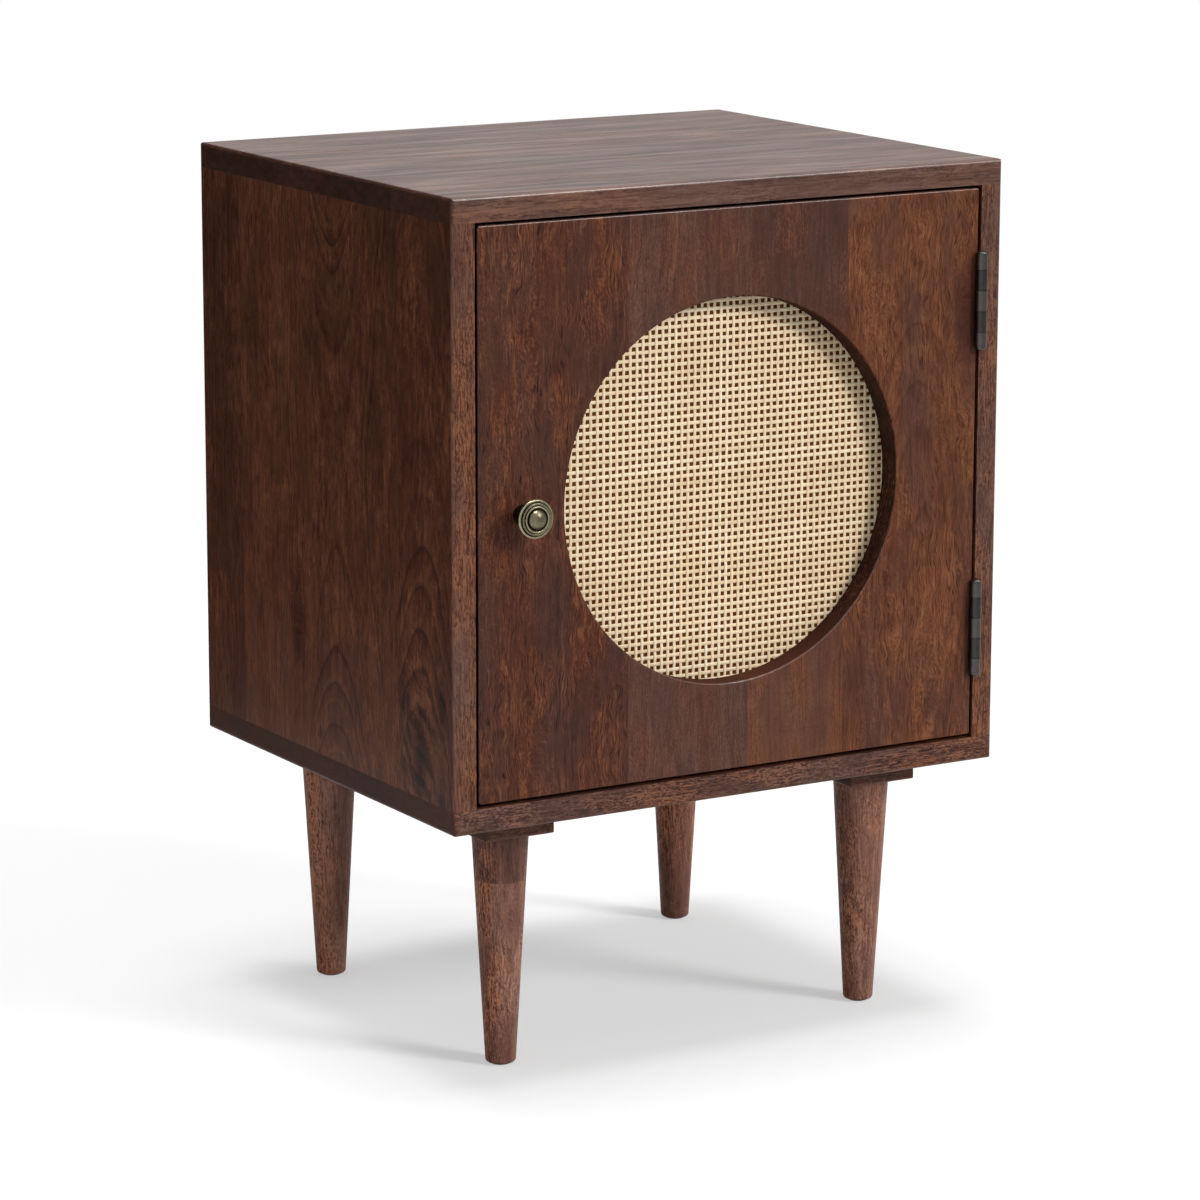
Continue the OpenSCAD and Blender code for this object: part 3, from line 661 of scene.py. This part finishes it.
# each leg's pith: its place beside the axis, how much further away than PITH_AWAY; then its tone
BLANKS = {"front_left": (34, 22, 0.07), "front_right": (-30, 30, 0.11),
          "back_left": (26, -32, 0.15), "back_right": (-36, -18, -0.01)}
for i, (corner, (pith, depth, tone)) in enumerate(BLANKS.items()):
    low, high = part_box(f"{corner}_leg")
    mid = (low + high) / 2 * TO_MM
    leg_top = round(high.z * TO_MM)
    blank = [Stave(LAST, pith, depth, 0.02, 0, tone, 0.05, 0.6, 0.02)]
    leg = Board("Z", "X", blank, TURNED, seed=50 + 7.3 * i, gloss=0.5, shade=2.2, rubbed=False,
                shift=(-mid.x, PITH_AWAY - mid.y))
    if corner == "front_left":
        leg.splice = leg_top - SPLICE
    dress(wood(f"{corner}_leg_wood", leg), f"{corner}_leg")
    offcut = [Stave(LAST, pith, depth + 20, 0.05, 0, 0.08, 0.1, 0.3, -0.1)]
    block = Board("X", "Y", offcut, LIVELY, seed=80 + 5.1 * i, gloss=0.5, shift=(-mid.y, -leg_top))
    dress(wood(f"{corner}_block_wood", block), f"{corner}_block")

# %% [markdown]
# ## Cane
#
# The window holds plain-woven cane: flat strands some 2.4 mm wide and 5 mm
# apart, passing over and under each other. A texture of squares would
# look dead, because the eye reads the small shadows where strands dip. So the
# strands are modelled. One profile is swept along every strand's line, whose
# depth follows the crossings: strand i goes over at its crossing k where i + k
# is even. Both directions are one mesh with two materials, so that each strand
# can have its own tone by its number.

# %% The line of a strand
CANE_PITCH = 5.05 * MM
STRAND_W = (2.45 * MM, 2.30 * MM)  # level and upright strands
STRAND_T = 0.38 * MM
RISE = 0.18 * MM     # how far a crossing lifts or lowers a strand
MARGIN = 1.3 * MM    # keeps the outermost strands clear of the ring's wood
# one crossing: places along the pitch, and how much of the rise the strand has there
WAVE = ((-0.25, 0.86), (0.0, 1.0), (0.25, 0.86), (0.5, 0.0))
# the profile: places across the width, and how far each stands out of the middle, in half thicknesses
CROWN = [(-0.5, -0.3), (-0.42, 0.80), (0.0, 1.0), (0.42, 0.80), (0.5, -0.3)]

low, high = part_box("cane_panel")
cane_r = (high.x - low.x) / 2 - MARGIN
rng = np.random.default_rng(7)


def strand_line(number):
    """Places along a strand and their depth: flat over each crossing, level in between."""
    offset = number * CANE_PITCH
    half = math.sqrt(cane_r ** 2 - offset ** 2)
    steps, depths = [], []
    for k in range(-int(half / CANE_PITCH) - 1, int(half / CANE_PITCH) + 2):
        over = 1 if (number + k) % 2 == 0 else -1
        for share, height in WAVE:
            steps.append((k + share) * CANE_PITCH)
            depths.append(over * height * RISE)
    steps, depths = np.array(steps), np.array(depths)
    keep = np.abs(steps) < half
    return steps[keep], depths[keep]


print("middle strand", len(strand_line(0)[0]), "places")


# %% Woven cane
SPREAD = 0.06 * MM   # how far strands lie off their places
WAVER = 0.08 * MM    # how far each one wavers to its two sides
WAVER_SPAN = 31 * MM
SWELL = 0.02         # by what share their widths differ


def strand_points(number, upright):
    """One strand, as its profile at every place along its line; it wanders and swells a little."""
    along, depth = strand_line(number)
    wobble = rng.normal(0, SPREAD) + WAVER * np.sin(along / WAVER_SPAN + rng.uniform(0, 6.3))
    width = STRAND_W[upright] * (1 + rng.normal(0, SWELL))
    sign = 1 if upright else -1
    points = []
    for step, dip, aside in zip(along, depth, wobble):
        for cross, crown in CROWN:
            beside = number * CANE_PITCH + aside + cross * width
            x, z = (beside, step) if upright else (step, beside)
            y = cane_mid.y - sign * dip - crown * STRAND_T / 2
            points.append((cane_mid.x + x, y, cane_mid.z + z))
    return points


def strand_faces(first, count):
    """The sides and then the two ends of a strand of so many points, which start at a number."""
    n = len(CROWN)
    faces = []
    for row in range(first, first + count - n, n):
        for c in range(n):
            a, b = row + c, row + (c + 1) % n
            faces.append((a, b, b + n, a + n))
    near_end = tuple(first + c for c in range(n))[::-1]
    far_end = tuple(first + count - n + c for c in range(n))
    return faces + [near_end, far_end]


def weave():
    """Points, faces and material numbers of all strands, both ways."""
    points, faces, slots = [], [], []
    last = int(cane_r / CANE_PITCH)
    for upright in (0, 1):
        for number in range(-last, last + 1):
            strand = strand_points(number, upright)
            # a level strand is an upright one mirrored, so its faces turn the other way
            made = [face if upright else face[::-1] for face in strand_faces(len(points), len(strand))]
            points += strand
            faces += made
            slots += [upright] * len(made)
    return points, faces, slots


def shape(name, points, faces):
    """A mesh object of this name in the scene."""
    mesh = bpy.data.meshes.new(name)
    mesh.from_pydata(points, [], faces)
    mesh.update()
    made = bpy.data.objects.new(name, mesh)
    bpy.context.scene.collection.objects.link(made)
    return made


points, faces, slots = weave()
cane = shape("woven_cane", points, faces)
cane.data.polygons.foreach_set("material_index", slots)
cane.data.polygons.foreach_set("use_smooth", [len(face) == 4 for face in faces])
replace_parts(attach(cane, "door"), "cane_panel")
print("cane", len(points), "points,", len(faces), "faces")

# %% [markdown]
# Cane is the glossy outer bark of rattan, cut into strips. Each strip has its
# own straw tone, fine lines along it, a painted shade along its edges where they
# curve away, and now and then a brown fleck. The strand's number is its place
# over the pitch, rounded, and a white noise of that number gives the tone. The
# seeds keep the two directions apart.

# %% Cane material, once for each direction
STRAW = [(0.0, (0.60, 0.445, 0.26, 1)), (0.5, (0.74, 0.59, 0.385, 1)), (1.0, (0.84, 0.725, 0.53, 1))]
ROSY, EDGE_SHADE, FLECK = (0.80, 0.55, 0.33, 1), (0.46, 0.30, 0.13, 1), (0.40, 0.24, 0.11, 1)


def cane_material(name, upright, tone_seed, blush_seed):
    """Straw-coloured bark for the strands of one direction."""
    mat, place = begin(name)
    x, y, z = place.split()
    side, along = (x, z) if upright else (z, x)
    middle = cane_mid.x if upright else cane_mid.z
    lane = (side - middle * TO_MM) / (CANE_PITCH * TO_MM)
    number = (lane + 0.5).math("FLOOR")
    within = (lane - number).math("ABSOLUTE")
    tone = (number + tone_seed).chance()
    blush = (number * 1.7 + blush_seed).chance()
    lines = place.vector(along / 16, side / 0.32, y).noise(2.0)
    drift = place.vector(along / 40, number * 3.3, 0).noise(1.0)
    flecks = place.vector(along / 2.6, side / 0.8, number).noise(1.0)
    light = 0.5 + (tone - 0.5) * 0.5 + (lines - 0.5) * 0.35 + (drift - 0.5) * 0.55
    straw = light.ramp(*STRAW)
    rosy = straw.towards(ROSY, (blush - 0.45).rise(0.0, 0.55) * 0.2)
    # painted shade: each strand's edges, near its lane's border, are darkened towards a dull brown
    edge_shaded = rosy.towards(EDGE_SHADE, within.rise(0.215, 0.27) * 0.5)
    colour = edge_shaded.towards(FLECK, flecks.rise(0.70, 0.80) * 0.6)
    return end(mat, colour, 0.42 + (lines - 0.5) * 0.2, lines, relief=0.04, Specular_IOR_Level=0.35)


cane.data.materials.append(cane_material("cane_level", 0, tone_seed=7.25, blush_seed=91.0))
cane.data.materials.append(cane_material("cane_upright", 1, tone_seed=40.5, blush_seed=3.5))
print("cane materials", [mat.name for mat in cane.data.materials])

# %% [markdown]
# The gaps between the strands are the same warm brown all over the window, so
# no dark inside shows there: a thin stained sheet backs the cane. It is a disc
# with a real thickness, which lies in the last bit of the cane panel's own
# depth, a hair behind the strands. A plane would do for the picture, but seen
# from the open door's back it has to be a thing with two faces and an edge.

# %% Backing sheet
BACKING_T = 0.12 * MM
SKIN = 0.02 * MM  # between the sheet and the back of the cane panel's box
SIDES = 128
low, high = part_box("cane_panel")
back_y = high.y - SKIN
angles = [2 * math.pi * i / SIDES for i in range(SIDES)]
points = [(cane_mid.x + cane_r * math.cos(angle), y, cane_mid.z + cane_r * math.sin(angle))
          for y in (back_y - BACKING_T, back_y) for angle in angles]
faces = [tuple(range(SIDES)), tuple(range(2 * SIDES - 1, SIDES - 1, -1))]
faces += [((i + 1) % SIDES, i, i + SIDES, (i + 1) % SIDES + SIDES) for i in range(SIDES)]
backing = shape("cane_backing", points, faces)
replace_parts(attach(backing, "door"), "cane_panel")
print("backing", round((high.y - low.y) / MM, 2), "mm panel, sheet", BACKING_T / MM, "mm")

# %% Stained front and wooden back of the sheet
STAIN = [(0.0, (0.050, 0.014, 0.002, 1)), (0.5, (0.100, 0.028, 0.004, 1)), (1.0, (0.16, 0.050, 0.010, 1))]
mat, place = begin("stained_sheet")
x, y, z = place.split()
fibres = place.vector(x / 0.9, y, z / 26).noise(2.0, 0.6)
cloud = place.vector(x / 14, y, z / 60).noise(2.0)
light = 0.5 + (fibres - 0.5) * 0.7 + (cloud - 0.5) * 0.6
end(mat, light.ramp(*STAIN), 0.8 + (fibres - 0.5) * 0.2, fibres, relief=0.05, Specular_IOR_Level=0.05)
backing.data.materials.append(mat)
sheet = Board("Z", "X", SHEET, PLAIN, seed=46.0, face=cane_plane, middle=mid_height,
              gloss=0.6, shade=1.3, rubbed=False)
backing.data.materials.append(wood("backing_wood", sheet))
backing.data.polygons.foreach_set("material_index", [0] + [1] * (SIDES + 1))
print("backing materials", [mat.name for mat in backing.data.materials])

# %% [markdown]
# ## Metal
#
# The knob is turned brass with an aged finish: a dark green-grey patina stays
# in the grooves and is rubbed through to olive-gold on the beads and the dome.
# The distance from the knob's axis says which ring a point lies on, and its
# height above the door says how deep it lies, so the two together drive the
# patina. Noise breaks it up, as handling does.

# %% Aged brass of the knob
# how far the patina is rubbed through, by the share of the knob's radius
RUBBED = [(0.0, 0.28), (0.47, 0.36),                 # dome
          (0.515, 0.0), (0.575, 0.0),                # groove round the dome
          (0.61, 0.56), (0.665, 0.60),               # inner bead
          (0.70, 0.0), (0.745, 0.38), (0.80, 0.42),  # cove and middle bead
          (0.84, 0.0), (0.90, 0.44), (1.0, 0.64)]    # last groove and rim
BRASS = [(0.0, (0.030, 0.029, 0.020, 1)), (0.30, (0.15, 0.135, 0.085, 1)),
         (0.7, (0.40, 0.35, 0.22, 1)), (1.0, (0.62, 0.55, 0.38, 1))]
mat, place = begin("aged_brass")
low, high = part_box("knob")
mid = (low + high) / 2 * TO_MM
x, y, z = place.split()
across, above = x - mid.x, z - mid.z
radius = (across * across + above * above).math("SQRT") / ((high.x - low.x) / 2 * TO_MM)
proud = high.y * TO_MM - y
mottle = (place / 1.6).noise(3.0, 0.6)
scratch = (place / 0.5).noise(2.0)
rub = radius.ramp(*RUBBED, interpolation="LINEAR")
shine = (rub + (mottle - 0.5) * 0.5 + (scratch - 0.5) * 0.15) * proud.rise(8, 15)
end(mat, shine.ramp(*BRASS), 0.36 - shine * 0.14, mottle, relief=0.03, Metallic=1.0)
dress(mat, "knob")

# %% [markdown]
# The hinges are steel with a dark gunmetal finish. The frame's leaves get a
# lighter tone than the door's, as they show in the photo: painted light on the
# frame's knuckles and painted shade on the door's. Turning marks run round the
# barrels, which lie along Z. Zinc, screw brass and the catch's ferrite are the
# same recipe in other tones.


# %% Gunmetal, zinc and other metals
def metal(name, tone, roughness):
    """Bare or plated metal of one tone, with turning marks round Z and a cloudy finish."""
    mat, place = begin(name)
    x, y, z = place.split()
    turned = place.vector(x / 6, y / 6, z / 0.35).noise(2.0)
    cloud = (place / 5).noise(3.0, 0.6)
    light = (turned - 0.5) * 0.5 + (cloud - 0.5) * 0.9 + 0.5
    shades = [tuple(share * part for part in tone) + (1,) for share in (0.55, 1, 1.6)]
    colour = light.ramp(*zip((0.0, 0.5, 1.0), shades))
    return end(mat, colour, roughness + (cloud - 0.5) * 0.2, turned, relief=0.02, Metallic=1.0)


FRAME_STEEL = (0.088, 0.081, 0.075)
# one steel in two tones: painted light on the frame's leaves and pin, painted shade on the door's leaves
dress(metal("gunmetal_frame_lit", FRAME_STEEL, 0.38), "upper_frame_leaf", "lower_frame_leaf")
dress(metal("gunmetal_door_shaded", (0.052, 0.049, 0.048), 0.34), "upper_door_leaf", "lower_door_leaf")
dress(metal("gunmetal_pin", FRAME_STEEL, 0.34), "upper_hinge_pin", "lower_hinge_pin")
dress(metal("gunmetal_screw", (0.07, 0.067, 0.065), 0.34), "frame_leaf_screws", "door_leaf_screws")
dress(metal("zinc", (0.50, 0.49, 0.46), 0.32), "back_screws", "shelf_supports", "knob_bolt",
      "strike_plate", "strike_screw", "catch_screws", "block_screws", "block_inserts", "hanger_bolts")
dress(metal("brass_screw", (0.46, 0.36, 0.17), 0.34), "ring_screws")
dress(metal("ferrite", (0.12, 0.12, 0.125), 0.5), "catch_magnet")

# %% [markdown]
# ## Plastic and small wood
#
# The catch case is brown moulded plastic and the glides are black nylon. Both
# have the faint orange-peel of a mould. The dowels are raw beech; they only
# show if the carcass is taken apart.


# %% Plastic and beech
def moulded(name, colour, roughness):
    """Moulded plastic: one colour, a little cloudy, with a faint orange-peel."""
    mat, place = begin(name)
    peel = (place / 0.8).noise(2.0)
    light = 0.85 + (place / 9).noise(2.0) * 0.3
    tinted = light.ramp((0.0, (0, 0, 0, 1)), (1.0, colour + (1,)), interpolation="LINEAR")
    return end(mat, tinted, roughness + (peel - 0.5) * 0.1, peel, relief=0.02)


dress(moulded("brown_plastic", (0.075, 0.045, 0.03), 0.45), "catch_case")
dress(moulded("black_nylon", (0.02, 0.018, 0.017), 0.5), "foot_glides")
rod = [Stave(LAST, 30, 40, 0.02, 0, 0.4, 0.6, 0, -0.2)]
dress(wood("beech", Board("Z", "X", rod, PLAIN, seed=91, shade=3.0, rubbed=False)), "carcass_dowels")

# %% [markdown]
# ## Floor, world and lamps
#
# The photograph is a cut-out on white with a soft grey shadow under the
# cupboard. The world and the floor are white where the camera, a mirror-like
# surface or glass looks at them, through Light Path, and only a plain grey
# where they light the object, so white costs no exposure. The floor keeps a
# diffuse share, which is what the lamps' shadow darkens, and fades into the
# plain white with distance so that no horizon shows. Its underside is clear,
# so that a view from below sees the cupboard.

# %% World
SKY = 0.50


def looked_at(tree):
    """1 for a ray of the camera, of a mirror or through glass, and 0 for one that gathers light."""
    paths = tree.nodes.new("ShaderNodeLightPath")
    eye, mirror, glass = (Socket(tree, paths.outputs[name])
                          for name in ("Is Camera Ray", "Is Glossy Ray", "Is Transmission Ray"))
    return eye.math("MAXIMUM", mirror).math("MAXIMUM", glass)


world = bpy.data.worlds.new("studio")
bpy.context.scene.world = world
world.use_nodes = True
world.node_tree.nodes.clear()
seen = looked_at(world.node_tree)
sky = seen.node("Background", {"Color": (1, 1, 1, 1), "Strength": seen * (1 - SKY) + SKY})
world_out = world.node_tree.nodes.new("ShaderNodeOutputWorld")
world.node_tree.links.new(sky.out, world_out.inputs["Surface"])
print("sky", SKY)

# %% Floor
FLOOR_HALF = 30.0
FLOOR_DULL = 0.42
FLOOR_GLOW = 0.42
FADE_FROM, FADE_TO = 0.9, 2.2
corners = [(x * FLOOR_HALF, y * FLOOR_HALF, 0) for x, y in ((-1, -1), (1, -1), (1, 1), (-1, 1))]
floor = shape("floor", corners, [(0, 1, 2, 3)])

mat = bpy.data.materials.new("floor_white")
mat.use_nodes = True
tree = mat.node_tree
tree.nodes.clear()
seen = looked_at(tree)
spot = seen.node("TexCoord", output="Object")
far = spot.node("VectorMath", {0: spot}, operation="LENGTH", output=1).rise(FADE_FROM, FADE_TO)
paper = seen.node("BsdfDiffuse", {"Color": (FLOOR_DULL, FLOOR_DULL, FLOOR_DULL, 1)})
glow = seen.node("Emission", {"Color": (1, 1, 1, 1), "Strength": seen * FLOOR_GLOW})
white = seen.node("Emission", {"Color": (1, 1, 1, 1), "Strength": seen})
lit = seen.node("AddShader", {0: paper, 1: glow})
faded = seen.node("MixShader", {0: far * seen, 1: lit, 2: white})
underside = seen.node("NewGeometry", output="Backfacing")
both = seen.node("MixShader", {0: underside, 1: faded, 2: seen.node("BsdfTransparent")})
floor_out = tree.nodes.new("ShaderNodeOutputMaterial")
tree.links.new(both.out, floor_out.inputs["Surface"])
floor.data.materials.append(mat)
print("floor", FLOOR_HALF * 2, "m across")

# %% [markdown]
# Two soft suns light it at a plain level, where a white sheet that faces a sun
# of level 1 renders as 1. One stands overhead and draws the even shadow under the
# cupboard. The other comes from the front right, a little above the eye: it
# leaves the left side dark, throws the knob's shadow to the left and shades
# the cane beside the window's right rim. Its mirror image would lie as a white
# patch on the top when one looks from behind, so mirror rays don't see it. They
# see a third lamp that stands higher and lights nothing else, which puts the
# glint on the knob and arrises.


# %% Lamps
def sun(name, towards_lamp, level, spread):
    """A sun whose light comes from a direction: level 1 renders white paper as white."""
    lamp = bpy.data.objects.new(name, bpy.data.lights.new(name, "SUN"))
    lamp.data.energy = level * math.pi
    lamp.data.angle = math.radians(spread)
    lamp.rotation_mode = "QUATERNION"
    lamp.rotation_quaternion = Vector(towards_lamp).to_track_quat("Z", "Y")
    lamp.location = Vector(towards_lamp) * 4  # out of the way; a sun shines alike from anywhere
    bpy.context.scene.collection.objects.link(lamp)
    return lamp


sun("overhead_lamp", (0.02, 0.05, 1.0), level=0.85, spread=26)
key = sun("right_front_lamp", (0.50, -0.74, 0.46), level=0.81, spread=17)
key.visible_glossy = False
glint = sun("glint_lamp", (0.42, -0.58, 0.70), level=0.85, spread=14)
glint.visible_diffuse = False

# %% [markdown]
# Dark satin wood is only as dark as what it mirrors. A studio stands dark
# cards just outside the picture for that, and these two do the same: a black
# one behind the left side and a grey one to the right, in front of the door.
# Only mirror rays see them, so they throw no shadow and take no light away.


# %% Cards that only mirror rays see
def card(name, towards, distance, width, low, high, grey):
    """An upright sheet at a distance from the cupboard, seen by glossy rays alone."""
    out = Vector(towards).normalized()
    beside = Vector((-out.y, out.x, 0))
    corners = [out * distance + beside * side * width / 2 + Vector((0, 0, z))
               for side, z in ((-1, low), (1, low), (1, high), (-1, high))]
    made = shape(name, corners, [(0, 1, 2, 3)])
    made.visible_camera = made.visible_diffuse = made.visible_transmission = made.visible_shadow = False
    paper = bpy.data.materials.new(name + "_paper")
    paper.use_nodes = True
    nodes = paper.node_tree.nodes
    nodes.clear()
    glow = nodes.new("ShaderNodeEmission")
    glow.inputs["Strength"].default_value = grey
    paper_out = nodes.new("ShaderNodeOutputMaterial")
    paper.node_tree.links.new(glow.outputs[0], paper_out.inputs["Surface"])
    made.data.materials.append(paper)


card("left_card", (-0.74, 0.67, 0), distance=0.75, width=1.6, low=0.01, high=2.0, grey=0.0)
card("right_card", (0.62, -0.78, 0), distance=1.1, width=2.8, low=0.02, high=2.2, grey=0.6)
print("cards up")

# %% [markdown] ## Colour Standard view transform, so that a colour
# renders as it is written.

# %% Finish
bpy.context.scene.view_settings.view_transform = "Standard"
